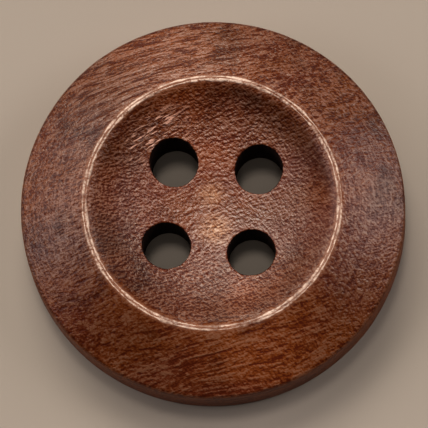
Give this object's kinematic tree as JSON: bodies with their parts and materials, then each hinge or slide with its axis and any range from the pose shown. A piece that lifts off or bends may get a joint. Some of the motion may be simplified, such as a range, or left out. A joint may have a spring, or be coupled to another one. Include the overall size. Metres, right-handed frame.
{
  "type": "sew-on button",
  "caption": "Round turned wooden sew-through button with a sloping rim, a thin crest ring and a dished centre pierced by sewing holes, stitched to cloth as a fastener.",
  "frame": {"origin": "centre of the flat back face", "axes": "+Z along the turning axis, out of the dished front; +X and +Y parallel to the sides of the square of sewing holes"},
  "size_m": [0.02, 0.02, 0.0044],
  "materials": {
    "stained_wood": "red-brown stain under a thin satin lacquer, worn pale on the crest"
  },
  "bodies": {
    "root": {"button_disc": "stained_wood"}
  },
  "joints": []
}
